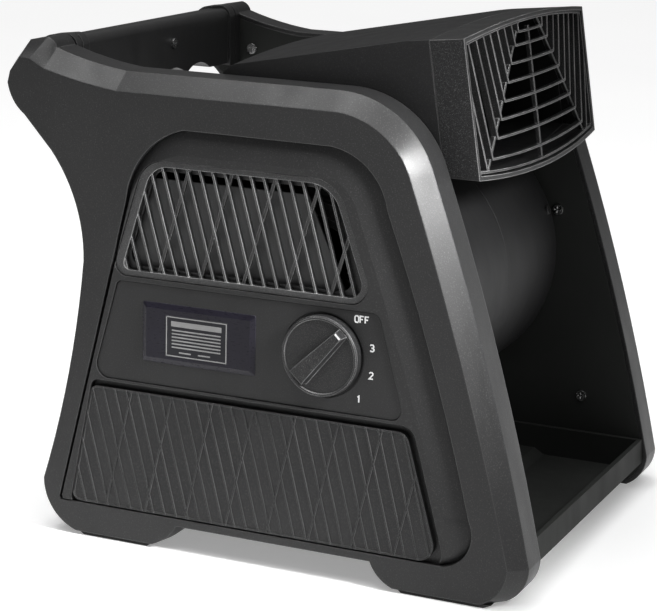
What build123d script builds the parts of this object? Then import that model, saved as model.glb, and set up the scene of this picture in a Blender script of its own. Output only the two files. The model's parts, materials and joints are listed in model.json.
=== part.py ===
from build123d import *
from math import cos, sin, radians
import os

os.makedirs("parts", exist_ok=True)

# Pivoting utility blower. Millimetres: X points out of the air nozzle, the control
# panel faces -Y, Z is up. The body is drawn about its own middle plane; the finished parts
# are moved over so that the origin is on the floor under the middle of the whole machine.

# Side shells
half_width = 146.0          # outer face of each side shell
rim_y = 133.0               # where the flat rim strip ends and the wide chamfer begins
inner_y = 112.0             # inner edge of each side shell
shell_wall = 3.0
face_back = 142.5           # back of the flat outer wall
pocket_floor = 141.0        # floor of the pocket that holds the inset panel
slab_back = 138.0           # back of the thicker wall behind the pocket
pad_height = 2.5            # rubber foot pads
liner_wall = 2.5

# Inset side panel
crest_y = 146.4             # raised plateau of the panel
panel_edge_y = 141.8        # where the panel starts at its rim
plate_y = 145.4             # face of the control plate

# Pivot and blower
pivot_x = 17.5
pivot_z = 160.5
drum_radius = 88.5
drum_half = 95.0
duct_half = 110.0
head_wall = 2.5
collar_radius = 57.94
ring_bore = 58.0
inlet_radius = 50.0
wheel_radius = 65.0
blade_count = 28
motor_radius = 41.0
shaft_radius = 4.0

# Nozzle
nozzle_lean = 0.164         # how far the mouth leans back for each millimetre of height
mouth_x = 110.5             # top edge of the mouth
mouth_z = 326.6
frame_length = 21.5
crown_top = 5.4
crown_bottom = 6.4

# Speed knob
knob_x = 43.3
knob_z = 139.8
knob_radius = 24.4
knob_angle = 47.0           # direction of the pointer in the off position
knob_overhang = 12.2        # how far the knob stands out beyond the panel

# Grip
grip_low = 271.5
grip_pitch = 35.5

liner_screws_at = [(100.7, 188.8), (124, 61), (-112, 62), (-100, 205), (30, 276), (-132, 281)]


def side_plane(depth):
    """Sketch plane facing the control side, at the given distance from the middle."""
    return Plane.XZ.offset(depth)


def rounded(points, radius):
    """Closed outline through corner points with rounded corners."""
    return make_face(FilletPolyline(*points, radius=radius, close=True))


def bars(length, width, angle, places):
    """One row of straight bars, drawn flat."""
    return [Pos(x, z) * Rectangle(width, length, rotation=angle) for x, z in places]


def rim_profile():
    """Side profile of the body at its rim, with feet, back curve, horn and sloping front."""
    Line((-115, 0), (-75, 0))
    ThreePointArc((-75, 0), (-64, 4), (-52, 16.4))
    Line((-52, 16.4), (76, 16.4))
    ThreePointArc((76, 16.4), (84.5, 5), (98, 0))
    Line((98, 0), (148.5, 0))
    ThreePointArc((148.5, 0), (165.5, 7), (172.5, 24))
    ThreePointArc((172.5, 24), (142.6, 138), (104.5, 250.9))
    ThreePointArc((104.5, 250.9), (81.3, 282.6), (43.7, 294.8))
    Line((43.7, 294.8), (-96, 295.2))
    ThreePointArc((-96, 295.2), (-119.5, 298.9), (-144.2, 305.6))
    ThreePointArc((-144.2, 305.6), (-147.2, 310), (-151, 311.6))
    Line((-151, 311.6), (-163, 309.4))
    Line((-163, 309.4), (-172.6, 297))
    Line((-172.6, 297), (-173, 286))
    ThreePointArc((-173, 286), (-169.5, 274.5), (-161, 264.5))
    Line((-161, 264.5), (-142, 244))
    ThreePointArc((-142, 244), (-125.5, 214), (-119.6, 178))
    ThreePointArc((-119.6, 178), (-130.4, 106.6), (-149, 34))
    ThreePointArc((-149, 34), (-139, 10), (-115, 0))


def face_profile():
    """Side profile of the flat outer face, inside the wide chamfer."""
    Line((-115, 1), (-76, 1))
    ThreePointArc((-76, 1), (-65, 5), (-53, 17))
    Line((-53, 17), (77, 17))
    ThreePointArc((77, 17), (85.5, 6), (98.5, 1))
    Line((98.5, 1), (141, 1))
    ThreePointArc((141, 1), (156.8, 9.2), (163.5, 26))
    ThreePointArc((163.5, 26), (132.6, 138), (95.6, 247.6))
    ThreePointArc((95.6, 247.6), (76.5, 273.9), (45.3, 284))
    Line((45.3, 284), (-96, 284.4))
    ThreePointArc((-96, 284.4), (-121, 288.2), (-146, 294))
    ThreePointArc((-146, 294), (-151, 296.6), (-156, 299.4))
    Line((-156, 299.4), (-163, 299.8))
    Line((-163, 299.8), (-170, 291))
    Line((-170, 291), (-171.8, 284))
    ThreePointArc((-171.8, 284), (-168.3, 274), (-160, 265))
    Line((-160, 265), (-141, 244.5))
    ThreePointArc((-141, 244.5), (-124.4, 214.4), (-118.6, 178))
    ThreePointArc((-118.6, 178), (-129.2, 106.6), (-148, 34))
    ThreePointArc((-148, 34), (-138.3, 10.7), (-115, 1))


def panel_profile():
    """Edge of the pocket for the inset side panel."""
    Line((-135.5, 22.2), (-136, 24))
    Line((-136, 24), (-88.5, 219))
    ThreePointArc((-88.5, 219), (-75, 249.5), (-50, 264.2))
    Line((-50, 264.2), (45, 263.4))
    ThreePointArc((45, 263.4), (68, 253.3), (81, 230))
    ThreePointArc((81, 230), (107.5, 157), (138, 52))
    ThreePointArc((138, 52), (136.6, 31), (123, 22.2))
    Line((123, 22.2), (-135.5, 22.2))


def crest_profile():
    """Plateau of the inset side panel."""
    Line((-133.8, 22.6), (-134.4, 25))
    Line((-134.4, 25), (-86.9, 217))
    ThreePointArc((-86.9, 217), (-72.5, 240.5), (-50, 249.5))
    Line((-50, 249.5), (32, 249))
    ThreePointArc((32, 249), (50.5, 243.5), (62, 230))
    ThreePointArc((62, 230), (91, 149), (122, 52))
    ThreePointArc((122, 52), (126, 31.5), (116, 22.6))
    Line((116, 22.6), (-133.8, 22.6))


air_window = rounded([(-91, 178), (-71, 238), (42, 238), (62, 178)], 8)
grille_outline = rounded([(-98.9, 172.3), (-76.7, 244.5), (49.7, 244.5), (75.3, 172.3)], [7.6, 18.6, 23.6, 11.6])
grille_inside = rounded([(-92.5, 175.8), (-72.2, 241.2), (46.4, 241.2), (69.9, 175.8)], [4, 15.5, 20.5, 8])
grille_opening = rounded([(-99.5, 171.9), (-77, 245), (50, 245), (76, 171.9)], [8, 19, 24, 12])
control_outline = rounded([(-111.5, 106.2), (-94.3, 168.7), (78.5, 168.7), (96.5, 106.2)], [8, 4, 6, 7])
control_seat = rounded([(-112, 105.8), (-94.7, 169.1), (78.9, 169.1), (97, 105.8)], [8.4, 4.4, 6.4, 7.4])
kick_outline = rounded([(-128, 22.8), (-113.3, 99.7), (97.8, 99.7), (120.4, 22.8)], [5, 5, 7, 10])
kick_inside = offset(kick_outline, amount=-1.1)
kick_opening = rounded([(-129, 19), (-112.7, 104.2), (102, 104.2), (126, 19)], [6, 6, 10, 10])

# ---------------------------------------------------------------- side shells
with BuildPart() as side_shell_control:
    with BuildSketch(side_plane(inner_y)):
        with BuildLine():
            rim_profile()
        make_face()
    extrude(amount=rim_y - inner_y)
    with BuildSketch(side_plane(rim_y)):
        with BuildLine():
            rim_profile()
        make_face()
    with BuildSketch(side_plane(half_width)):
        with BuildLine():
            face_profile()
        make_face()
    loft(ruled=True)
    # hollow inside, open towards the middle of the machine
    with BuildSketch(side_plane(inner_y)):
        with BuildLine():
            rim_profile()
        make_face()
        offset(amount=-shell_wall, mode=Mode.REPLACE)
    extrude(amount=19, mode=Mode.SUBTRACT)
    with BuildSketch(side_plane(inner_y + 19)):
        with BuildLine():
            face_profile()
        make_face()
        offset(amount=-shell_wall, mode=Mode.REPLACE)
    extrude(amount=face_back - inner_y - 19, mode=Mode.SUBTRACT)
    # thicker wall behind the panel pocket, lapped into the outer wall all round
    with BuildSketch(side_plane(slab_back)):
        with BuildLine():
            panel_profile()
        make_face()
        offset(amount=4, mode=Mode.REPLACE)
    extrude(amount=face_back - slab_back + 0.5)
    # screw bosses for the inner liner
    with BuildSketch(side_plane(inner_y + liner_wall)):
        with Locations(*liner_screws_at):
            Circle(4.6)
    extrude(amount=face_back - inner_y - liner_wall + 0.2)
    with BuildSketch(side_plane(inner_y)):
        with Locations(*liner_screws_at):
            Circle(1.65)
    extrude(amount=14, mode=Mode.SUBTRACT)
    # panel pocket
    with BuildSketch(side_plane(pocket_floor)):
        with BuildLine():
            panel_profile()
        make_face()
        offset(amount=0.45, mode=Mode.REPLACE)
    extrude(amount=12, mode=Mode.SUBTRACT)
    # air window behind the intake grille, and the hole for the switch shaft
    with BuildSketch(side_plane(slab_back - 1)):
        add(air_window)
        with Locations((knob_x, knob_z)):
            Circle(5.5)
    extrude(amount=10, mode=Mode.SUBTRACT)
    # soles are cut flat for the rubber pads
    with BuildSketch(Plane.XY.offset(-1)):
        with Locations((0, -130)):
            Rectangle(400, 60)
    extrude(amount=1 + pad_height, mode=Mode.SUBTRACT)

with BuildPart() as side_shell_plain:
    mirror(side_shell_control.part, about=Plane.XZ)

with BuildPart() as foot_pads:
    with BuildSketch(Plane.XZ.offset(inner_y + 1.5)) as soles:
        with BuildLine():
            Polyline((-124, pad_height), (-72, pad_height), (-74.5, 0), (-120, 0), close=True)
        make_face()
        with BuildLine():
            Polyline((94, pad_height), (154, pad_height), (149, 0), (97, 0), close=True)
        make_face()
    extrude(amount=half_width - inner_y - 3.5)
    mirror(about=Plane.XZ)

# ---------------------------------------------------------------- inner liners
with BuildPart() as side_liner_control:
    with BuildSketch(side_plane(inner_y)):
        with BuildLine():
            rim_profile()
        make_face()
        offset(amount=-shell_wall - 0.1, mode=Mode.REPLACE)
    extrude(amount=liner_wall)
    # pivot stops on the hidden side
    with BuildSketch(side_plane(inner_y + liner_wall)):
        with Locations((pivot_x, pivot_z)):
            with PolarLocations(75, 2, start_angle=-4, angular_range=-109, endpoint=True):
                Rectangle(8, 6)
    extrude(amount=6)
    with BuildSketch(side_plane(inner_y - 1)):
        with Locations((pivot_x, pivot_z)):
            Circle(62.1)
        with Locations(*liner_screws_at):
            Circle(1.9)
    extrude(amount=12, mode=Mode.SUBTRACT)

with BuildPart() as side_liner_plain:
    mirror(side_liner_control.part, about=Plane.XZ)

with BuildPart() as liner_screws:
    for side in (1, -1):
        face_in = Plane(origin=(0, -side * inner_y, 0), x_dir=(-side, 0, 0), z_dir=(0, side, 0))
        screw_spots = [(-side * x, z) for x, z in liner_screws_at]
        with BuildSketch(face_in):
            with Locations(*screw_spots):
                Circle(3.6)
        extrude(amount=1.6)
        with BuildSketch(face_in.offset(-12)):
            with Locations(*screw_spots):
                Circle(1.6)
        extrude(amount=12.5)
        with BuildSketch(face_in.offset(0.8)):
            with Locations(*screw_spots):
                Rectangle(4.4, 0.9)
                Rectangle(0.9, 4.4)
        extrude(amount=2, mode=Mode.SUBTRACT)

# ---------------------------------------------------------------- pivot rings
with BuildPart() as pivot_rings:
    with BuildSketch(side_plane(inner_y)):
        with Locations((pivot_x, pivot_z)):
            Circle(62)
    extrude(amount=5)
    with BuildSketch(side_plane(inner_y + liner_wall + 0.05)):
        with Locations((pivot_x, pivot_z)):
            Circle(68)
    extrude(amount=2.4)
    with BuildSketch(side_plane(inner_y - 1)):
        with Locations((pivot_x, pivot_z)):
            Circle(ring_bore)
    extrude(amount=12, mode=Mode.SUBTRACT)
    mirror(about=Plane.XZ)

# ---------------------------------------------------------------- inset side panel
with BuildPart() as side_panel_control:
    with BuildSketch(side_plane(pocket_floor)):
        with BuildLine():
            panel_profile()
        make_face()
        offset(amount=-0.2, mode=Mode.REPLACE)
    extrude(amount=panel_edge_y - pocket_floor)
    with BuildSketch(side_plane(panel_edge_y)):
        with BuildLine():
            panel_profile()
        make_face()
    with BuildSketch(side_plane(crest_y)):
        with BuildLine():
            crest_profile()
        make_face()
    loft(ruled=True)
    # windows for the grille and the kick pad, shallow seat for the control plate
    with BuildSketch(side_plane(pocket_floor - 1)):
        add(grille_opening)
        add(kick_opening)
        with Locations((knob_x, knob_z)):
            Circle(5.5)
    extrude(amount=12, mode=Mode.SUBTRACT)
    with BuildSketch(side_plane(plate_y - 1.8)):
        add(control_seat)
    extrude(amount=12, mode=Mode.SUBTRACT)

with BuildPart() as side_panel_plain:
    mirror(side_panel_control.part, about=Plane.XZ)

# ---------------------------------------------------------------- intake grilles
slat_pitch = 8.42
slat_places = [(-98.2 + slat_pitch * k, 207.8) for k in range(-1, 21)]
rib_places = [(-86.6 + 28.5 * k, 207.8) for k in range(7)]
slat_fan = Sketch() + bars(90, 1.35, 15.85, slat_places)
rib_fan = Sketch() + bars(90, 2.0, -17, rib_places)

with BuildPart() as intake_grille_control:
    with BuildSketch(side_plane(pocket_floor)):
        add(grille_outline)
        add(grille_inside, mode=Mode.SUBTRACT)
    extrude(amount=3.8)
    with BuildSketch(side_plane(pocket_floor + 0.6)):
        add(slat_fan)
        add(grille_outline, mode=Mode.INTERSECT)
    extrude(amount=2.7)
    with BuildSketch(side_plane(pocket_floor)):
        add(rib_fan)
        add(grille_outline, mode=Mode.INTERSECT)
    extrude(amount=1.6)

with BuildPart() as intake_grille_plain:
    mirror(intake_grille_control.part, about=Plane.XZ)

# baffle plates behind the grilles, on four short posts
with BuildPart() as intake_baffles:
    with BuildSketch(side_plane(134.5)):
        with BuildLine():
            Polyline((-101, 168), (-82, 232.3), (27.3, 232.3), (56.5, 168), close=True)
        make_face()
    extrude(amount=1.5)
    with BuildSketch(side_plane(135)):
        with Locations((-95, 171.5), (-79.8, 226), (-20, 171.5), (47, 171.5)):
            Circle(3)
    extrude(amount=slab_back - 135)
    mirror(about=Plane.XZ)

# ---------------------------------------------------------------- kick pads
ridge_places = [(-102.9 + 8.04 * k, 59.2) for k in range(-5, 30)]
cross_places = [(-94.6 + 27.9 * k, 59.2) for k in range(0, 8)]
ridge_fan = Sketch() + bars(110, 0.9, 14.5, ridge_places)
cross_fan = Sketch() + bars(110, 0.9, -13.5, cross_places)

with BuildPart() as kick_pad_control:
    with BuildSketch(side_plane(pocket_floor)):
        add(kick_outline)
    extrude(amount=3.9)
    with BuildSketch(side_plane(pocket_floor + 3.9)):
        add(ridge_fan)
        add(cross_fan)
        add(kick_outline, mode=Mode.INTERSECT)
    extrude(amount=0.7)
    with BuildSketch(side_plane(pocket_floor + 3.9)):
        add(kick_outline)
        add(kick_inside, mode=Mode.SUBTRACT)
    extrude(amount=0.5)

with BuildPart() as kick_pad_plain:
    mirror(kick_pad_control.part, about=Plane.XZ)

# ---------------------------------------------------------------- control plate and label
with BuildPart() as control_plate:
    with BuildSketch(side_plane(plate_y - 1.75)):
        add(control_outline)
        with Locations((knob_x, knob_z)):
            Circle(26.0, mode=Mode.SUBTRACT)
    extrude(amount=1.75)

with BuildPart() as blank_base:
    with BuildSketch(side_plane(plate_y - 1.75)):
        add(control_outline)
    extrude(amount=1.75)
    with BuildSketch(side_plane(plate_y)):
        with Locations((-8, 137)):
            RectangleRounded(150, 38, 6)
            RectangleRounded(146, 34, 4.5, mode=Mode.SUBTRACT)
    extrude(amount=0.6)

with BuildPart() as blank_plate:
    mirror(blank_base.part, about=Plane.XZ)

with BuildPart() as label_window:
    with BuildSketch(side_plane(plate_y)):
        with Locations((-39, 139.2)):
            RectangleRounded(76.6, 37.6, 1.5)
    with BuildSketch(side_plane(plate_y + 1.8)):
        with Locations((-39, 139.2)):
            RectangleRounded(70, 31, 1.0)
    loft(ruled=True)
    with BuildSketch(side_plane(plate_y + 1.4)):
        with Locations((-39.8, 138.4)):
            Rectangle(42, 25.8)
    extrude(amount=2, mode=Mode.SUBTRACT)

with BuildPart() as label_plate:
    with BuildSketch(side_plane(plate_y + 1.4)):
        with Locations((-39.8, 138.4)):
            Rectangle(41.8, 25.6)
    extrude(amount=0.4)

# plain ruled print: a border, one heading bar and rows of short bars
with BuildPart() as label_print:
    with BuildSketch(side_plane(plate_y + 1.8)):
        with Locations((-39.8, 138.4)):
            Rectangle(41, 24.8)
            Rectangle(39.8, 23.6, mode=Mode.SUBTRACT)
        with Locations((-39.8, 146.4)):
            Rectangle(34, 3.2)
        with Locations(*[(-39.8, 142.4 - 2.1 * row) for row in range(6)]):
            Rectangle(33, 0.8)
        with Locations((-47.3, 128.8), (-34.3, 128.8)):
            Rectangle(8, 0.8)
    extrude(amount=0.15)

# ---------------------------------------------------------------- speed knob
ridge_shape = make_face(Polyline((-18.5, -6.2), (-18.5, 6.2), (22.3, 3.3), (22.3, -3.3), close=True))
ridge_top = make_face(Polyline((-17, -5.2), (-17, 5.2), (22, 2.6), (22, -2.6), close=True))
tip_mark = Pos(21.2, 0) * Rectangle(1.0, 4.4)
turned = Pos(knob_x, knob_z) * Rot(0, 0, knob_angle)

with BuildPart() as speed_knob:
    with BuildSketch(side_plane(plate_y - 1.3)):
        with Locations((knob_x, knob_z)):
            Circle(knob_radius)
    extrude(amount=7.4)
    chamfer(speed_knob.edges().group_by(Axis.Y)[0], length=0.8)
    with BuildSketch(side_plane(plate_y + 5.2)):
        with Locations((knob_x, knob_z)):
            Circle(knob_radius - 2.0)
    extrude(amount=3, mode=Mode.SUBTRACT)
    with BuildSketch(side_plane(plate_y + 5)):
        add(turned * ridge_shape)
    with BuildSketch(side_plane(plate_y + 13)):
        add(turned * ridge_top)
    loft(ruled=True)
    with BuildSketch(side_plane(plate_y - 3)):
        with Locations((knob_x, knob_z)):
            Circle(3)
    extrude(amount=7.5, mode=Mode.SUBTRACT)

with BuildPart() as knob_mark:
    with BuildSketch(side_plane(plate_y + 13)):
        add(turned * tip_mark)
    extrude(amount=0.2)

with BuildPart() as knob_shaft:
    with BuildSketch(side_plane(126)):
        with Locations((knob_x, knob_z)):
            Circle(3)
    extrude(amount=plate_y + 4.4 - 126)

# dial figures drawn as strokes on a grid 3 wide and 5 tall
figure_scale = 0.78
glyphs = {
    "O": [[(0.8, 0), (0, 1), (0, 4), (0.8, 5), (2.2, 5), (3, 4), (3, 1), (2.2, 0), (0.8, 0)]],
    "F": [[(0, 0), (0, 5), (2.8, 5)], [(0, 2.6), (2.3, 2.6)]],
    "3": [[(0, 4.4), (0.7, 5), (2.1, 5), (2.8, 4.3), (2.8, 3.3), (2.1, 2.6), (1.1, 2.6)],
          [(2.1, 2.6), (3, 1.8), (3, 0.8), (2.2, 0), (0.7, 0), (0, 0.7)]],
    "2": [[(0, 4.2), (0.8, 5), (2.2, 5), (2.9, 4.2), (2.9, 3.3), (0, 0), (3, 0)]],
    "1": [[(0.3, 4.1), (1.4, 5), (1.4, 0)]],
}


def figure(letter, left, low):
    """Strokes of one dial figure, placed by its lower left corner."""
    strokes = []
    for points in glyphs[letter]:
        centre_line = Polyline(*[(figure_scale * x, figure_scale * z) for x, z in points])
        strokes.append(trace(centre_line, line_width=0.8))
    return Pos(left, low) * (Sketch() + strokes)


dial_figures = [figure("O", 63.1, 162.1), figure("F", 66.4, 162.1), figure("F", 69.6, 162.1),
                figure("3", 73.3, 145.8), figure("2", 73.2, 129.2), figure("1", 65.9, 113.9)]

with BuildPart() as dial_marks:
    with BuildSketch(side_plane(plate_y)):
        add(Sketch() + dial_figures)
    extrude(amount=0.15)

# ---------------------------------------------------------------- electrical parts
with BuildPart() as speed_switch:
    with BuildSketch(side_plane(123)):
        with Locations((knob_x, knob_z)):
            RectangleRounded(27, 27, 3)
    extrude(amount=slab_back - 123)
    with BuildSketch(side_plane(slab_back)):
        with Locations((knob_x, knob_z)):
            Circle(5.2)
    extrude(amount=5)
    with BuildSketch(side_plane(120)):
        with Locations((knob_x, knob_z)):
            with GridLocations(9, 9, 2, 2):
                Rectangle(0.8, 5)
    extrude(amount=3.2)
    with BuildSketch(side_plane(119)):
        with Locations((knob_x, knob_z)):
            Circle(3.06)
    extrude(amount=30, mode=Mode.SUBTRACT)

with BuildPart() as run_capacitor:
    with BuildSketch(Plane.YZ.offset(-74)):
        with Locations((-127, 62)):
            Circle(9.5)
    extrude(amount=46)
    with BuildSketch(Plane.YZ.offset(-28)):
        with Locations((-130, 62), (-124, 62)):
            Rectangle(0.8, 5)
    extrude(amount=7)

with BuildPart() as capacitor_clip:
    with BuildSketch(Plane.YZ.offset(-57)):
        with Locations((-127, 62)):
            Circle(10.9)
        with Locations((-115.4, 62)):
            Rectangle(1.6, 34)
        with Locations((-127, 62)):
            Circle(9.6, mode=Mode.SUBTRACT)
    extrude(amount=12)

with BuildPart() as terminal_block:
    with BuildSketch(Plane.XY.offset(19.6)):
        with Locations((-84, 60)):
            RectangleRounded(34, 22, 2)
    extrude(amount=14)
    with BuildSketch(Plane.XY.offset(28)):
        with Locations((-84, 60)):
            with GridLocations(10, 12, 3, 2):
                Circle(2.2)
    extrude(amount=8, mode=Mode.SUBTRACT)

# ---------------------------------------------------------------- grip between the horns
def grip_profile():
    """Rounded bar section."""
    Line((-167, grip_low), (-169.6, 285))
    Line((-169.6, 285), (-169, 299))
    ThreePointArc((-169, 299), (-166.8, 305.2), (-161, 308.6))
    Line((-161, 308.6), (-149, 309.2))
    ThreePointArc((-149, 309.2), (-145.6, 307.8), (-144.2, 304.5))
    Line((-144.2, 304.5), (-144, grip_low))
    Line((-144, grip_low), (-167, grip_low))


def collar_profile():
    """Slightly larger section at both ends of the grip."""
    Line((-169, grip_low - 1.5), (-172.4, 285))
    Line((-172.4, 285), (-172, 298))
    ThreePointArc((-172, 298), (-169.4, 305), (-163, 310))
    Line((-163, 310), (-151, 311.5))
    ThreePointArc((-151, 311.5), (-144.9, 309.4), (-142.6, 304.5))
    Line((-142.6, 304.5), (-142, grip_low - 1.5))
    Line((-142, grip_low - 1.5), (-169, grip_low - 1.5))


with BuildPart() as grip_blank:
    with BuildSketch(side_plane(-inner_y + 0.05)):
        with BuildLine():
            grip_profile()
        make_face()
    extrude(amount=2 * inner_y - 0.1)
    for start in (-inner_y + 0.05, 97):
        with BuildSketch(side_plane(start)):
            with BuildLine():
                collar_profile()
            make_face()
        extrude(amount=inner_y - 0.05 - 97)
    # fine joint groove in each collar
    for start in (-106, 104.8):
        with BuildSketch(side_plane(start)):
            with BuildLine():
                collar_profile()
            make_face()
            with BuildLine():
                grip_profile()
            make_face(mode=Mode.SUBTRACT)
        extrude(amount=1.2, mode=Mode.SUBTRACT)
    with BuildSketch(side_plane(-92)):
        with Locations((-156.8, 293)):
            Rectangle(18.5, 23)
    extrude(amount=184, mode=Mode.SUBTRACT)
    # finger scallops underneath
    with BuildSketch(Plane.YZ.offset(-180)):
        with Locations(*[(grip_pitch * (k - 1.5), grip_low - 24.7) for k in range(4)]):
            Circle(29.7)
    extrude(amount=50, mode=Mode.SUBTRACT)

with BuildPart() as grip_outer:
    add(grip_blank.part)
    with BuildSketch(Plane.XY.offset(200)):
        with Locations((-107.05, 0)):
            Rectangle(100, 300)
    extrude(amount=150, mode=Mode.SUBTRACT)

with BuildPart() as grip_inner:
    add(grip_blank.part)
    with BuildSketch(Plane.XY.offset(200)):
        with Locations((-206.95, 0)):
            Rectangle(100, 300)
    extrude(amount=150, mode=Mode.SUBTRACT)

with BuildPart() as grip_screw:
    with BuildSketch(Plane.YZ.offset(-144)):
        with Locations((16, 293.6)):
            Circle(3.4)
    extrude(amount=1.6)
    with BuildSketch(Plane.YZ.offset(-143.3)):
        with Locations((16, 293.6)):
            Rectangle(4.2, 0.9)
            Rectangle(0.9, 4.2)
    extrude(amount=2, mode=Mode.SUBTRACT)

# ---------------------------------------------------------------- base tray
tray_outside = make_face(Polyline((-124.5, 36), (-124.5, 21), (-120, 16.6), (92, 16.6), (99, 12.5), (160, 12.5),
                                  (169.6, 20), (168.6, 36), close=True))
tray_inside = make_face(Polyline((-121.5, 38), (-121.5, 22.3), (-118.8, 19.6), (93, 19.6), (100, 15.5), (159, 15.5),
                                 (166.6, 21.5), (165.4, 38), close=True))
with BuildPart() as base_tray:
    with BuildSketch(side_plane(-inner_y + 0.1)):
        add(tray_outside)
    extrude(amount=2 * inner_y - 0.2)
    with BuildSketch(side_plane(-inner_y + 3.1)):
        add(tray_inside)
    extrude(amount=2 * inner_y - 6.2, mode=Mode.SUBTRACT)
    with BuildSketch(Plane.YZ.offset(-130)):
        with Locations((60, 27.5)):
            Circle(5.6)
    extrude(amount=20, mode=Mode.SUBTRACT)

with BuildPart() as cord_gland:
    with BuildSketch(Plane.YZ.offset(-131)):
        with Locations((60, 27.5)):
            Circle(7.6)
    extrude(amount=6.4)
    with BuildSketch(Plane.YZ.offset(-125)):
        with Locations((60, 27.5)):
            Circle(5.5)
    extrude(amount=10)
    with BuildSketch(Plane.YZ.offset(-132)):
        with Locations((60, 27.5)):
            Circle(3.6)
    extrude(amount=20, mode=Mode.SUBTRACT)

# ---------------------------------------------------------------- pivoting head
def scroll_profile():
    """Fan scroll: round in front and below, opening out behind towards the duct."""
    ThreePointArc((54.9, 240.7), (106, 160.5), (pivot_x, pivot_z - drum_radius))
    TangentArc((pivot_x, pivot_z - drum_radius), (-92, 181.5), tangent=(-1, 0))
    TangentArc((-92, 181.5), (-46, 293), tangent=(0, 1))
    Line((-46, 293), (54.9, 262))
    Line((54.9, 262), (54.9, 240.7))


def duct_section(side, top, low, rise, sag):
    """Barrel-shaped duct opening seen from the front."""
    Line((-side, low), (-side, top))
    ThreePointArc((-side, top), (0, top + rise), (side, top))
    Line((side, top), (side, low))
    ThreePointArc((side, low), (0, low - sag), (-side, low))


top_rate = 0.1967
top_back = 299.3
top_kink_x = 75.0
top_kink = 322.9
top_end_x = 150.0
top_end = 330.8
duct_low = 245.5
lean_direction = (-nozzle_lean, 0, 1)


def mouth_block(front, back):
    """Everything between two bulged sheets parallel to the mouth, as a solid."""
    edge = mouth_x + nozzle_lean * (mouth_z - 200)
    front_arc = ThreePointArc((edge - front - 0.4, -118), (edge - front + 3, 0), (edge - front - 0.4, 118))
    back_arc = ThreePointArc((edge - back - 0.4, -118), (edge - back + 3, 0), (edge - back - 0.4, 118))
    sides = [Line(front_arc @ 0, back_arc @ 0), Line(front_arc @ 1, back_arc @ 1)]
    sheet = Pos(0, 0, 200) * make_face([front_arc, back_arc] + sides)
    rise = extrude(sheet, amount=160, dir=lean_direction)
    fall = extrude(sheet, amount=-170, dir=lean_direction)
    return rise + fall


mouth_solid = mouth_block(0, 400)
frame_solid = mouth_block(0, frame_length)
duct_solid = mouth_block(frame_length + 0.3, 400)
grille_sheet = mouth_block(1.0, 5.5)
rib_sheet = mouth_block(2.6, 5.2)

with BuildPart() as duct_outer:
    for x, top in ((-45, top_back), (top_kink_x, top_kink), (top_end_x, top_end)):
        with BuildSketch(Plane.YZ.offset(x)):
            with BuildLine():
                duct_section(duct_half, top, duct_low, crown_top, crown_bottom)
            make_face()
    loft(ruled=True)
    fillet(duct_outer.edges().filter_by_position(Axis.X, -45.1, -44.9).sort_by(Axis.Z)[-1], radius=14)
    add(mouth_solid, mode=Mode.INTERSECT)

with BuildPart() as duct_inner:
    for x, top in ((-42.5, top_back), (top_kink_x, top_kink), (top_end_x, top_end)):
        with BuildSketch(Plane.YZ.offset(x)):
            with BuildLine():
                duct_section(duct_half - head_wall, top - head_wall, duct_low + head_wall, crown_top, crown_bottom)
            make_face()
    loft(ruled=True)
    fillet(duct_inner.edges().filter_by_position(Axis.X, -42.6, -42.4).sort_by(Axis.Z)[-1], radius=12)

with BuildPart() as head_outer:
    with BuildSketch(side_plane(-drum_half)):
        with BuildLine():
            scroll_profile()
        make_face()
    extrude(amount=2 * drum_half)
    add(duct_outer.part)

with BuildPart() as head_inner:
    with BuildSketch(side_plane(-drum_half + head_wall)):
        with BuildLine():
            scroll_profile()
        make_face()
        offset(amount=-head_wall, mode=Mode.REPLACE)
    extrude(amount=2 * drum_half - 2 * head_wall)
    add(duct_inner.part)

with BuildPart() as head_casing:
    add(head_outer.part)
    add(head_inner.part, mode=Mode.SUBTRACT)
    # air inlets in both end walls
    with BuildSketch(side_plane(-drum_half - 10)):
        with Locations((pivot_x, pivot_z)):
            Circle(inlet_radius)
            with PolarLocations(62, 6, start_angle=30):
                Circle(1.65)
    extrude(amount=2 * drum_half + 20, mode=Mode.SUBTRACT)

with BuildPart() as nozzle_frame:
    add(head_casing.part)
    add(frame_solid, mode=Mode.INTERSECT)

with BuildPart() as volute_control:
    add(head_casing.part)
    add(duct_solid, mode=Mode.INTERSECT)
    with BuildSketch(Plane.XY):
        with Locations((0, 199.85)):
            Rectangle(600, 400)
    extrude(amount=400, mode=Mode.SUBTRACT)

with BuildPart() as volute_plain:
    add(head_casing.part)
    add(duct_solid, mode=Mode.INTERSECT)
    with BuildSketch(Plane.XY):
        with Locations((0, -199.85)):
            Rectangle(600, 400)
    extrude(amount=400, mode=Mode.SUBTRACT)

# outlet grille, drawn on the leaning mouth
mouth_normal = Vector(1, 0, nozzle_lean).normalized()
mouth_point = Vector(mouth_x + nozzle_lean * (mouth_z - 285), 0, 285)
grille_plane = Plane(origin=mouth_point + mouth_normal * 12, x_dir=(0, 1, 0), z_dir=mouth_normal)
bar_width = 1.3
corner_levels = [37.8, 30.2, 20.2, 9.9, -0.3, -10.2, -20.2, -30.9]
corner_reach = [22.0, 29.7, 39.3, 47.8, 56.9, 65.0, 73.7, 85.0]
bar_sag = [0.2, 0.3, 0.5, 0.5, 0.9, 1.0, 1.4, 3.0]
top_reach = [23.0, 34.6, 47.0, 58.3, 70.4, 81.0, 92.3, 104.0]
grille_bars = []
for level, reach, sag, top in zip(corner_levels, corner_reach, bar_sag, top_reach):
    cross_bar = ThreePointArc((-reach, level), (0, level - sag), (reach, level))
    grille_bars.append(trace(cross_bar, line_width=bar_width))
    for side in (1, -1):
        grille_bars.append(trace(Line((side * reach, level), (side * top, 47)), line_width=bar_width))
for side in (1, -1):
    grille_bars.append(trace(Line((side * 93.5, -40), (side * 107.5, 16)), line_width=bar_width))
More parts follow.
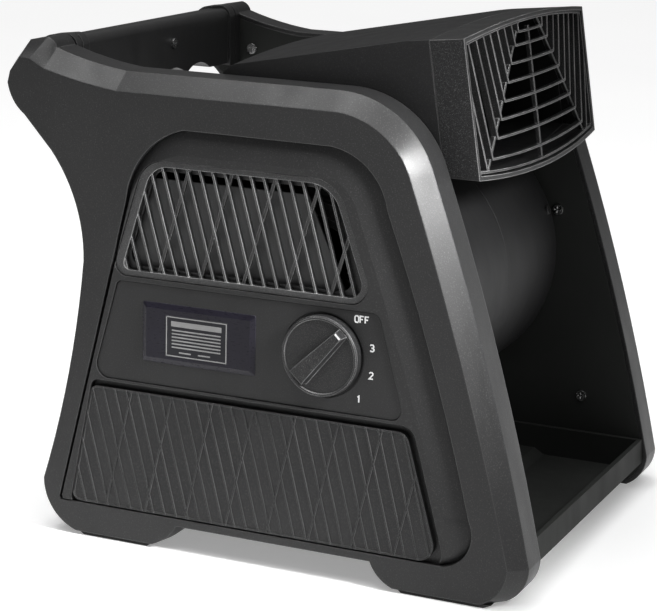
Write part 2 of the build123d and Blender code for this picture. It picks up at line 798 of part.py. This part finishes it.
# ribs behind the bars that tie them together
tie_ribs = [Pos(side * 57.4, -0.6) * Rectangle(1.6, 122, rotation=side * 42.3) for side in (1, -1)]
tie_ribs.append(Pos(0, -5) * Rectangle(1.8, 90))

with BuildPart() as grille_ribs:
    with BuildSketch(grille_plane):
        with BuildLine():
            duct_section(106.4, 38.6, -35.6, crown_top, crown_bottom)
        make_face()
        add(Sketch() + tie_ribs, mode=Mode.INTERSECT)
    extrude(amount=-30)
    add(rib_sheet, mode=Mode.INTERSECT)

with BuildPart() as outlet_grille:
    with BuildSketch(grille_plane):
        with BuildLine():
            duct_section(107.2, 39.4, -36.3, crown_top, crown_bottom)
        make_face()
        with BuildLine():
            duct_section(105.9, 38.1, -35.0, crown_top, crown_bottom)
        make_face(mode=Mode.SUBTRACT)
    extrude(amount=-30)
    with BuildSketch(grille_plane):
        with BuildLine():
            duct_section(106.4, 38.6, -35.6, crown_top, crown_bottom)
        make_face()
        add(Sketch() + grille_bars, mode=Mode.INTERSECT)
    extrude(amount=-30)
    add(grille_sheet, mode=Mode.INTERSECT)
    add(grille_ribs.part)

with BuildPart() as inlet_bells:
    with BuildSketch(side_plane(87.5)):
        with Locations((pivot_x, pivot_z)):
            Circle(inlet_radius)
            Circle(inlet_radius - 2.5, mode=Mode.SUBTRACT)
    extrude(amount=drum_half - 87.5)
    mirror(about=Plane.XZ)

with BuildPart() as pivot_collars:
    with BuildSketch(side_plane(drum_half)):
        with Locations((pivot_x, pivot_z)):
            Circle(66.5)
    extrude(amount=2.6)
    with BuildSketch(side_plane(drum_half + 2)):
        with Locations((pivot_x, pivot_z)):
            Circle(collar_radius)
    extrude(amount=24)
    with BuildSketch(side_plane(drum_half - 1)):
        with Locations((pivot_x, pivot_z)):
            Circle(53.5)
            with PolarLocations(62, 6, start_angle=30):
                Circle(1.9)
    extrude(amount=40, mode=Mode.SUBTRACT)
    mirror(about=Plane.XZ)

# keeps the collar in its ring and carries the stop tab
with BuildPart() as collar_clips:
    with BuildSketch(side_plane(117.5)):
        with Locations((pivot_x, pivot_z)):
            Circle(66)
            with PolarLocations(71, 1, start_angle=-86):
                Rectangle(14, 8)
            Circle(collar_radius, mode=Mode.SUBTRACT)
    extrude(amount=2.4)
    mirror(about=Plane.XZ)

with BuildPart() as collar_screws:
    with BuildSketch(side_plane(drum_half + 2.6)):
        with Locations((pivot_x, pivot_z)):
            with PolarLocations(62, 6, start_angle=30):
                Circle(3.2)
    extrude(amount=1.5)
    with BuildSketch(side_plane(drum_half - 8)):
        with Locations((pivot_x, pivot_z)):
            with PolarLocations(62, 6, start_angle=30):
                Circle(1.6)
    extrude(amount=11)
    with BuildSketch(side_plane(drum_half + 3.4)):
        with Locations((pivot_x, pivot_z)):
            with PolarLocations(62, 6, start_angle=30):
                Rectangle(4, 0.9)
                Rectangle(0.9, 4)
    extrude(amount=2, mode=Mode.SUBTRACT)
    mirror(about=Plane.XZ)

# ---------------------------------------------------------------- motor and wheels
with BuildPart() as motor_can:
    with BuildSketch(side_plane(-30)):
        with Locations((pivot_x, pivot_z)):
            Circle(motor_radius)
            Circle(motor_radius - 2, mode=Mode.SUBTRACT)
    extrude(amount=60)

with BuildPart() as motor_ends:
    with BuildSketch(side_plane(30)):
        with Locations((pivot_x, pivot_z)):
            Circle(motor_radius)
            with PolarLocations(26, 8):
                Circle(5, mode=Mode.SUBTRACT)
    extrude(amount=2.5)
    with BuildSketch(side_plane(30)):
        with Locations((pivot_x, pivot_z)):
            Circle(10)
    extrude(amount=6)
    with BuildSketch(side_plane(25)):
        with Locations((pivot_x, pivot_z)):
            Circle(shaft_radius + 0.05)
    extrude(amount=20, mode=Mode.SUBTRACT)
    mirror(about=Plane.XZ)

with BuildPart() as motor_stator:
    with BuildSketch(side_plane(-20)):
        with Locations((pivot_x, pivot_z)):
            Circle(motor_radius - 2)
            Circle(25.5, mode=Mode.SUBTRACT)
            with PolarLocations(31, 12):
                RectangleRounded(8, 6, 1.5, mode=Mode.SUBTRACT)
    extrude(amount=40)

with BuildPart() as motor_rotor:
    with BuildSketch(side_plane(-20)):
        with Locations((pivot_x, pivot_z)):
            Circle(24.8)
            Circle(shaft_radius, mode=Mode.SUBTRACT)
    extrude(amount=40)

with BuildPart() as motor_shaft:
    with BuildSketch(side_plane(-58)):
        with Locations((pivot_x, pivot_z)):
            Circle(shaft_radius)
    extrude(amount=116)

with BuildPart() as motor_band:
    with BuildSketch(side_plane(-9)):
        with Locations((pivot_x, pivot_z)):
            Circle(motor_radius + 3)
            for angle, reach in ((20, 85.95), (-70, 85.95), (180, 104.3)):
                with PolarLocations((reach + motor_radius) / 2 + 0.5, 1, start_angle=angle):
                    Rectangle(reach - motor_radius - 1, 5)
            Circle(motor_radius, mode=Mode.SUBTRACT)
    extrude(amount=18)

with BuildPart() as wheel_control:
    with BuildSketch(side_plane(38.5)):
        with Locations((pivot_x, pivot_z)):
            Circle(wheel_radius)
    extrude(amount=1.8)
    with BuildSketch(side_plane(40)):
        with Locations((pivot_x, pivot_z)):
            Circle(9)
    extrude(amount=10)
    with BuildSketch(side_plane(40)):
        with Locations((pivot_x, pivot_z)):
            with PolarLocations(58.6, blade_count):
                Rectangle(12, 1.3, rotation=38)
    extrude(amount=43)
    with BuildSketch(side_plane(82)):
        with Locations((pivot_x, pivot_z)):
            Circle(wheel_radius)
            Circle(57, mode=Mode.SUBTRACT)
    extrude(amount=2)
    with BuildSketch(side_plane(30)):
        with Locations((pivot_x, pivot_z)):
            Circle(shaft_radius)
    extrude(amount=60, mode=Mode.SUBTRACT)

with BuildPart() as wheel_plain:
    mirror(wheel_control.part, about=Plane.XZ)

with BuildPart() as wheel_nuts:
    with BuildSketch(side_plane(50)):
        with Locations((pivot_x, pivot_z)):
            RegularPolygon(7, 6)
            Circle(shaft_radius, mode=Mode.SUBTRACT)
    extrude(amount=5)
    mirror(about=Plane.XZ)

# screws round the drum, near both ends
with BuildPart() as casing_screws:
    for angle in (20.9, -62):
        for across in (-88.5, 88.5):
            out = Vector(cos(radians(angle)), 0, sin(radians(angle)))
            spot = Vector(pivot_x, across, pivot_z) + out * (drum_radius + 0.05)
            with BuildSketch(Plane(origin=spot, x_dir=(0, 1, 0), z_dir=out)):
                Circle(3)
            extrude(amount=1.6)

pieces = {
    "side_shell_control": side_shell_control,
    "side_shell_plain": side_shell_plain,
    "foot_pads": foot_pads,
    "side_liner_control": side_liner_control,
    "side_liner_plain": side_liner_plain,
    "liner_screws": liner_screws,
    "pivot_rings": pivot_rings,
    "side_panel_control": side_panel_control,
    "side_panel_plain": side_panel_plain,
    "intake_grille_control": intake_grille_control,
    "intake_grille_plain": intake_grille_plain,
    "intake_baffles": intake_baffles,
    "kick_pad_control": kick_pad_control,
    "kick_pad_plain": kick_pad_plain,
    "control_plate": control_plate,
    "blank_plate": blank_plate,
    "label_window": label_window,
    "label_plate": label_plate,
    "label_print": label_print,
    "speed_knob": speed_knob,
    "knob_mark": knob_mark,
    "knob_shaft": knob_shaft,
    "dial_marks": dial_marks,
    "speed_switch": speed_switch,
    "run_capacitor": run_capacitor,
    "capacitor_clip": capacitor_clip,
    "terminal_block": terminal_block,
    "grip_outer": grip_outer,
    "grip_inner": grip_inner,
    "grip_screw": grip_screw,
    "base_tray": base_tray,
    "cord_gland": cord_gland,
    "volute_control": volute_control,
    "volute_plain": volute_plain,
    "nozzle_frame": nozzle_frame,
    "outlet_grille": outlet_grille,
    "inlet_bells": inlet_bells,
    "pivot_collars": pivot_collars,
    "collar_clips": collar_clips,
    "collar_screws": collar_screws,
    "motor_can": motor_can,
    "motor_ends": motor_ends,
    "motor_stator": motor_stator,
    "motor_rotor": motor_rotor,
    "motor_shaft": motor_shaft,
    "motor_band": motor_band,
    "wheel_control": wheel_control,
    "wheel_plain": wheel_plain,
    "wheel_nuts": wheel_nuts,
    "casing_screws": casing_screws,
}

# the knob stands out on one side only, so everything moves over to centre the whole width
for name, piece in pieces.items():
    placed = piece.part.moved(Location((0, knob_overhang / 2, 0)))
    placed.label = name
    export_step(placed, "parts/" + name + ".step")
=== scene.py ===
import json
from math import cos, sin, radians
import bpy
from mathutils import Matrix, Vector


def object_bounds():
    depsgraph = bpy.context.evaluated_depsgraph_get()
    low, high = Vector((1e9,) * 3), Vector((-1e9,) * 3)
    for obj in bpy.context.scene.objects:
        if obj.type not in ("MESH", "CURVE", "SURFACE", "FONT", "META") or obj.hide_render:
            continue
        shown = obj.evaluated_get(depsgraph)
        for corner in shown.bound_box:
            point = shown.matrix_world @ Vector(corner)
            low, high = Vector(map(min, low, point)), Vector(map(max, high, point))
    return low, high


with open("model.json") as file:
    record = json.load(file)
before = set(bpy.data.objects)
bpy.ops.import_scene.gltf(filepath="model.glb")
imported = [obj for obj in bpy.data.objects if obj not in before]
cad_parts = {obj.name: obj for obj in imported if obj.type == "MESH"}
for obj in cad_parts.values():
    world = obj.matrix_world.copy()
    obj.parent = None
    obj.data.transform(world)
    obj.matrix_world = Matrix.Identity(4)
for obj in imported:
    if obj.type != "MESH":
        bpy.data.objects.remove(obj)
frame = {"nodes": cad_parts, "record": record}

cad_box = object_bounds()

# ---------------------------------------------------------------- named values
# noise scales are cycles per metre; lengths are in metres
edge_samples = 6
edge_match = (0.995, 0.86)      # dot product of plain and rounded normal, at no edge and at a full edge
mottle_scale = 14.0
smear_scale, smear_stretch = 60.0, (1.0, 1.0, 0.25)
streak_scale = 260.0
stain_scale = 90.0
cloud_scale = 40.0
hair_scale, hair_stretch = 900.0, (0.3, 1.0, 1.0)
dust_scale = 900.0
patch_scale = 35.0
metal_edge, gloss_edge, rubber_edge = 0.0003, 0.0004, 0.0005
gloss_specular = 0.22

floor_half = 6.0
floor_glow = 0.3
world_light, world_seen = 0.12, 1.0
object_middle = (0.0, 0.0, 0.16)

# ---------------------------------------------------------------- node helpers


def new_material(name):
    """Empty node material; returns (material, nodes, links, principled shader)."""
    made = bpy.data.materials.new(name)
    made.use_nodes = True
    tree = made.node_tree
    tree.nodes.clear()
    output = tree.nodes.new("ShaderNodeOutputMaterial")
    shader = tree.nodes.new("ShaderNodeBsdfPrincipled")
    tree.links.new(shader.outputs["BSDF"], output.inputs["Surface"])
    return made, tree.nodes, tree.links, shader


def noise(nodes, links, place, scale, detail=2.0, stretch=None):
    """Noise read in object space, optionally stretched along the axes."""
    if stretch:
        mapping = nodes.new("ShaderNodeMapping")
        mapping.inputs["Scale"].default_value = stretch
        links.new(place, mapping.inputs["Vector"])
        place = mapping.outputs["Vector"]
    texture = nodes.new("ShaderNodeTexNoise")
    texture.inputs["Scale"].default_value = scale
    texture.inputs["Detail"].default_value = detail
    links.new(place, texture.inputs["Vector"])
    return texture.outputs["Fac"]


def grey(value):
    """Opaque neutral colour."""
    return (value, value, value, 1.0)


def shade(colour, factor, lift=0.0):
    """A colour multiplied by a factor and lifted, held at white."""
    return tuple(min(1.0, factor * c + lift) for c in colour[:3]) + (1.0,)


def span(nodes, links, value, low, high, to_low, to_high):
    """Maps a value from one range to another, clamped."""
    mapped = nodes.new("ShaderNodeMapRange")
    mapped.inputs["From Min"].default_value = low
    mapped.inputs["From Max"].default_value = high
    mapped.inputs["To Min"].default_value = to_low
    mapped.inputs["To Max"].default_value = to_high
    links.new(value, mapped.inputs["Value"])
    return mapped.outputs["Result"]


def blend_colour(nodes, links, factor, first, second):
    """Mixes two colours by a factor socket; either colour may be a socket."""
    mix = nodes.new("ShaderNodeMix")
    mix.data_type = "RGBA"
    links.new(factor, mix.inputs[0])
    for socket, colour in ((mix.inputs[6], first), (mix.inputs[7], second)):
        if isinstance(colour, tuple):
            socket.default_value = colour
        else:
            links.new(colour, socket)
    return mix.outputs[2]


def edge_amount(nodes, links, radius):
    """How near a point is to a sharp edge, and the rounded normal there."""
    round_edge = nodes.new("ShaderNodeBevel")
    round_edge.samples = edge_samples
    round_edge.inputs["Radius"].default_value = radius
    geometry = nodes.new("ShaderNodeNewGeometry")
    match = nodes.new("ShaderNodeVectorMath")
    match.operation = "DOT_PRODUCT"
    links.new(round_edge.outputs["Normal"], match.inputs[0])
    links.new(geometry.outputs["Normal"], match.inputs[1])
    near = span(nodes, links, match.outputs["Value"], *edge_match, 0.0, 1.0)
    return near, round_edge.outputs["Normal"]


def roughen(nodes, links, shader, height, rounded, strength, depth):
    """Bump from a height socket, on top of the rounded edge normal."""
    bump = nodes.new("ShaderNodeBump")
    bump.inputs["Strength"].default_value = strength
    bump.inputs["Distance"].default_value = depth
    links.new(height, bump.inputs["Height"])
    links.new(rounded, bump.inputs["Normal"])
    links.new(bump.outputs["Normal"], shader.inputs["Normal"])


def moulded_plastic(name, colour, pale_tone_and_highlight, roughness=0.5, grain=0.00042, depth=0.00004,
                    edge=0.0006, edge_highlight_gain=0.6, gloss=0.5):
    """Sand-textured injection moulding: fine grain, faint mottling, and a painted highlight along the
    edges, patchy like rubbed wear.
    """
    made, nodes, links, shader = new_material(name)
    place = nodes.new("ShaderNodeTexCoord").outputs["Object"]
    sand = noise(nodes, links, place, 1.0 / grain, 3.0)
    mottle = noise(nodes, links, place, mottle_scale, 4.0)
    smear = noise(nodes, links, place, smear_scale, 3.0, smear_stretch)
    near_edge, rounded = edge_amount(nodes, links, edge)
    base = blend_colour(nodes, links, span(nodes, links, mottle, 0.3, 0.7, 0.0, 1.0),
                        shade(colour, 0.88), shade(colour, 1.12))
    speckle = span(nodes, links, sand, 0.56, 0.74, 0.0, 0.32)
    base = blend_colour(nodes, links, speckle, base, pale_tone_and_highlight)
    # painted highlight: near sharp edges the colour is drawn toward the pale colour, in patches set by
    # the smear noise
    painted_edge_highlight = nodes.new("ShaderNodeMath")
    painted_edge_highlight.operation = "MULTIPLY"
    links.new(near_edge, painted_edge_highlight.inputs[0])
    links.new(span(nodes, links, smear, 0.35, 0.65, 0.35 * edge_highlight_gain, edge_highlight_gain), painted_edge_highlight.inputs[1])
    base = blend_colour(nodes, links, painted_edge_highlight.outputs[0], base, pale_tone_and_highlight)
    links.new(base, shader.inputs["Base Color"])
    shader.inputs["Specular IOR Level"].default_value = gloss
    dull = span(nodes, links, smear, 0.3, 0.7, roughness - 0.05, roughness + 0.06)
    links.new(dull, shader.inputs["Roughness"])
    roughen(nodes, links, shader, sand, rounded, 0.55, depth)
    return made


def bare_metal(name, colour, roughness, streak=(1.0, 40.0, 1.0)):
    """Turned or drawn metal with fine streaks, small stains and a painted highlight along its edges."""
    made, nodes, links, shader = new_material(name)
    place = nodes.new("ShaderNodeTexCoord").outputs["Object"]
    lines = noise(nodes, links, place, streak_scale, 3.0, streak)
    stain = noise(nodes, links, place, stain_scale, 4.0)
    near_edge, rounded = edge_amount(nodes, links, metal_edge)
    base = blend_colour(nodes, links, span(nodes, links, stain, 0.35, 0.7, 0.0, 1.0),
                        shade(colour, 0.75), colour)
    # painted highlight: near edges the colour is lifted toward 1.6 times itself
    base = blend_colour(nodes, links, span(nodes, links, near_edge, 0.0, 1.0, 0.0, 0.4),
                        base, shade(colour, 1.6))
    links.new(base, shader.inputs["Base Color"])
    shader.inputs["Metallic"].default_value = 1.0
    dull = span(nodes, links, lines, 0.3, 0.7, roughness - 0.06, roughness + 0.1)
    links.new(dull, shader.inputs["Roughness"])
    roughen(nodes, links, shader, lines, rounded, 0.4, 0.00001)
    return made


def smooth_gloss(name, colour, cloudy, roughness):
    """Glossy moulding or print with faint clouding, fine hairline marks and a painted highlight along
    its edges.
    """
    made, nodes, links, shader = new_material(name)
    place = nodes.new("ShaderNodeTexCoord").outputs["Object"]
    cloud = noise(nodes, links, place, cloud_scale, 4.0)
    hair = noise(nodes, links, place, hair_scale, 2.0, hair_stretch)
    near_edge, rounded = edge_amount(nodes, links, gloss_edge)
    base = blend_colour(nodes, links, span(nodes, links, cloud, 0.3, 0.7, 0.0, 1.0), colour, cloudy)
    # painted highlight: near edges the colour is lifted toward a much paler cloud colour
    base = blend_colour(nodes, links, span(nodes, links, near_edge, 0.0, 1.0, 0.0, 0.35),
                        base, shade(cloudy, 2.2, 0.05))
    links.new(base, shader.inputs["Base Color"])
    shader.inputs["Specular IOR Level"].default_value = gloss_specular
    dull = span(nodes, links, hair, 0.35, 0.7, roughness, roughness + 0.12)
    links.new(dull, shader.inputs["Roughness"])
    roughen(nodes, links, shader, hair, rounded, 0.2, 0.000004)
    return made


def rubber(name, colour, pale_tone_and_highlight):
    """Dull rubber with dust in its surface and a painted highlight along its edges."""
    made, nodes, links, shader = new_material(name)
    place = nodes.new("ShaderNodeTexCoord").outputs["Object"]
    dust = noise(nodes, links, place, dust_scale, 3.0)
    patch = noise(nodes, links, place, patch_scale, 4.0)
    near_edge, rounded = edge_amount(nodes, links, rubber_edge)
    base = blend_colour(nodes, links, span(nodes, links, patch, 0.4, 0.7, 0.0, 0.5), colour, pale_tone_and_highlight)
    # painted highlight: near edges the colour is drawn halfway toward the pale colour
    base = blend_colour(nodes, links, span(nodes, links, near_edge, 0.0, 1.0, 0.0, 0.5), base, pale_tone_and_highlight)
    links.new(base, shader.inputs["Base Color"])
    links.new(span(nodes, links, patch, 0.3, 0.7, 0.72, 0.88), shader.inputs["Roughness"])
    roughen(nodes, links, shader, dust, rounded, 0.5, 0.00005)
    return made


# ---------------------------------------------------------------- materials
charcoal = (0.0135, 0.0135, 0.0138, 1.0)
pale_grey_and_highlight = grey(0.11)
liner_grey = (0.017, 0.018, 0.0168, 1.0)

# material slot: look
# in moulded and rubber looks the second colour is the pale tone of speckle and patches, and also the
# colour of the painted edge highlight
finishes = {
    "shell_plastic": moulded_plastic("shell_plastic_look", charcoal, pale_grey_and_highlight, 0.4,
                                     grain=0.0008, depth=0.00011, edge=0.0012, gloss=0.36),
    "panel_plastic": moulded_plastic("panel_plastic_look", (0.0155, 0.0155, 0.0158, 1.0),
                                     pale_grey_and_highlight, 0.5, grain=0.0007, depth=0.00007, gloss=0.35),
    "pad_plastic": moulded_plastic("pad_plastic_look", (0.018, 0.018, 0.0184, 1.0), grey(0.17),
                                   0.5, edge=0.0004, edge_highlight_gain=0.9, gloss=0.32),
    "grille_plastic": moulded_plastic("grille_plastic_look", (0.03, 0.03, 0.0305, 1.0), grey(0.5),
                                      0.45, edge=0.0006, edge_highlight_gain=1.0),
    "grip_plastic": moulded_plastic("grip_plastic_look", (0.011, 0.011, 0.0113, 1.0),
                                    pale_grey_and_highlight, 0.48, gloss=0.4),
    "liner_plastic": moulded_plastic("liner_plastic_look", liner_grey, grey(0.03), 0.65, gloss=0.2),
    "blower_plastic": moulded_plastic("blower_plastic_look", (0.008, 0.008, 0.0083, 1.0),
                                      grey(0.26), 0.47, edge=0.0009, edge_highlight_gain=0.9, gloss=0.24),
    "knob_plastic": moulded_plastic("knob_plastic_look", (0.011, 0.011, 0.0115, 1.0), grey(0.4),
                                    0.45, edge=0.0007, edge_highlight_gain=1.0, gloss=0.35),
    "switch_plastic": moulded_plastic("switch_plastic_look", (0.5, 0.48, 0.42, 1.0),
                                      (0.62, 0.6, 0.55, 1.0), 0.5),
    "wheel_plastic": moulded_plastic("wheel_plastic_look", (0.02, 0.02, 0.021, 1.0), grey(0.1), 0.4),
    "foot_rubber": rubber("foot_rubber_look", grey(0.012), (0.05, 0.05, 0.048, 1.0)),
    "window_gloss": smooth_gloss("window_gloss_look", (0.009, 0.008, 0.013, 1.0),
                                 (0.013, 0.012, 0.019, 1.0), 0.26),
    "label_foil": smooth_gloss("label_foil_look", (0.012, 0.012, 0.015, 1.0),
                               (0.018, 0.018, 0.022, 1.0), 0.35),
    "print_ink": smooth_gloss("print_ink_look", grey(0.72), grey(0.82), 0.5),
    "black_screws": bare_metal("black_screws_look", (0.06, 0.06, 0.062, 1.0), 0.36),
    "shaft_steel": bare_metal("shaft_steel_look", (0.5, 0.5, 0.49, 1.0), 0.28),
    "motor_metal": bare_metal("motor_metal_look", grey(0.42), 0.4),
    "motor_iron": bare_metal("motor_iron_look", (0.16, 0.15, 0.14, 1.0), 0.5, (1.0, 60.0, 1.0)),
}

# node: look, where a node's look isn't that of its slot
volute_look = moulded_plastic("volute_look", (0.0075, 0.0075, 0.0078, 1.0), grey(0.07),
                              0.5, edge=0.0007, edge_highlight_gain=0.4, gloss=0.24)
own_finish = {
    "label_print": smooth_gloss("faded_print_look", grey(0.2), grey(0.3), 0.5),
    # painted light: the baffles sit in shade behind the grille, and a lighter grey stands in for the
    # light they lack
    "intake_baffles": moulded_plastic("baffle_painted_light_look", (0.06, 0.06, 0.061, 1.0), grey(0.1), 0.5),
    "liner_screws": bare_metal("liner_screws_look", grey(0.5), 0.24),
    "grip_screw": bare_metal("grip_screw_look", grey(0.5), 0.24),
    "casing_screws": bare_metal("casing_screws_look", grey(0.16), 0.32),
    "volute_control": volute_look,
    "volute_plain": volute_look,
}

for part in frame["record"]["subparts"]:
    piece = frame["nodes"][part["node"]]
    if not piece.material_slots:
        piece.data.materials.append(None)
    for slot in piece.material_slots:
        slot.material = own_finish.get(part["node"], finishes[part["material_slot"]])

# ---------------------------------------------------------------- floor, light, camera
floor_height = cad_box[0][2]


def show(name, data):
    """Puts new data into the scene as an object."""
    made = bpy.data.objects.new(name, data)
    bpy.context.scene.collection.objects.link(made)
    return made


def aim(lamp, place, target):
    """Stands a lamp at a place and points it at a target."""
    lamp.location = place
    lamp.rotation_euler = (Vector(target) - lamp.location).to_track_quat("-Z", "Y").to_euler()


def softbox(name, place, target, size, power):
    """Large soft area light aimed at a point."""
    light = bpy.data.lights.new(name, "AREA")
    light.shape = "RECTANGLE"
    light.size, light.size_y = size
    light.energy = power
    aim(show(name, light), place, target)


floor_mesh = bpy.data.meshes.new("studio_floor")
floor_mesh.from_pydata([(x * floor_half, y * floor_half, floor_height)
                        for x, y in ((-1, -1), (1, -1), (1, 1), (-1, 1))], [], [(0, 1, 2, 3)])
floor = show("studio_floor", floor_mesh)
floor_look, nodes, links, shader = new_material("studio_floor_look")
place = nodes.new("ShaderNodeTexCoord").outputs["Object"]
floor_colour = blend_colour(nodes, links, noise(nodes, links, place, 2.0), grey(0.86), grey(0.9))
links.new(floor_colour, shader.inputs["Base Color"])
shader.inputs["Roughness"].default_value = 0.9
shader.inputs["Emission Color"].default_value = grey(1.0)
shader.inputs["Emission Strength"].default_value = floor_glow
floor.data.materials.append(floor_look)

softbox("top_light", (-0.3, 0.0, 1.6), object_middle, (1.0, 0.8), 9)
softbox("front_light", (-0.6, -2.0, 1.0), object_middle, (1.4, 1.0), 1)

# soft spot on the upper front corner of the control side
corner_light = bpy.data.lights.new("corner_light", "SPOT")
corner_light.energy = 43.0
corner_light.spot_size = radians(42)
corner_light.spot_blend = 1.0
corner_light.shadow_soft_size = 0.08
aim(show("corner_light", corner_light), (0.56, -0.23, 0.5), (0.105, -0.14, 0.225))

# broad even light from above
overcast = bpy.data.lights.new("overcast", "SUN")
overcast.energy = 1.9
overcast.angle = radians(60)
show("overcast", overcast).rotation_euler = (radians(8), radians(6), 0)

# pale surround: dim as a light, white where the camera sees it directly
world = bpy.data.worlds.new("studio_air")
world.use_nodes = True
nodes, links = world.node_tree.nodes, world.node_tree.links
air = nodes["Background"]
air.inputs["Color"].default_value = grey(1.0)
seen = nodes.new("ShaderNodeLightPath").outputs["Is Camera Ray"]
links.new(span(nodes, links, seen, 0.0, 1.0, world_light, world_seen), air.inputs["Strength"])
bpy.context.scene.world = world
bpy.context.scene.view_settings.view_transform = "Standard"

# camera: stands to the mouth side of the control side and looks a little down
turn, tilt, roll = radians(23.89), radians(13.77), radians(1.44)
away = Vector((sin(turn) * cos(tilt), -cos(turn) * cos(tilt), sin(tilt)))
level = (-away).cross(Vector((0, 0, 1))).normalized()
upright = level.cross(-away)
across = cos(roll) * level + sin(roll) * upright
upward = cos(roll) * upright - sin(roll) * level
eye = Vector((0.5418, -1.2585, 0.4699))
lens = bpy.data.cameras.new("photo_camera")
lens.sensor_width = 36.0
lens.lens = 118.26
camera = show("photo_camera", lens)
camera.matrix_world = Matrix.Translation(eye) @ Matrix((across, upward, away)).transposed().to_4x4()
bpy.context.scene.camera = camera
